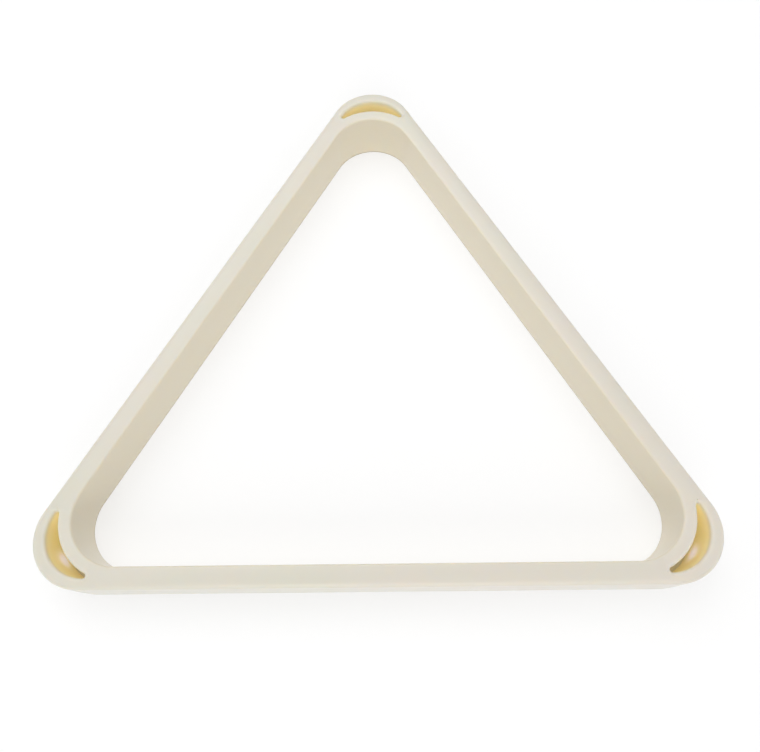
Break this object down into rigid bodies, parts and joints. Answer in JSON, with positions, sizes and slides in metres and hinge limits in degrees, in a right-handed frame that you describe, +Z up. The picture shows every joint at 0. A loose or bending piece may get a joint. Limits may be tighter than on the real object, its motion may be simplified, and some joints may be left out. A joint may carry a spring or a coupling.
{
  "type": "triangle ball rack",
  "caption": "Triangular pool ball rack of ivory plastic: a hollow rail with rounded corners, a crescent slot through each corner, moulded as an upper and a lower shell.",
  "frame": {"origin": "middle of the footprint's bounding box, on the plane that the rack rests on", "axes": "+X along the straight front rail, +Y towards the apex corner, +Z up from the table"},
  "size_m": [0.3305, 0.293, 0.03],
  "materials": {
    "ivory_plastic": "glossy moulded ivory plastic, slightly translucent"
  },
  "bodies": {
    "root": {"upper_shell": "ivory_plastic", "lower_shell": "ivory_plastic"}
  },
  "joints": []
}
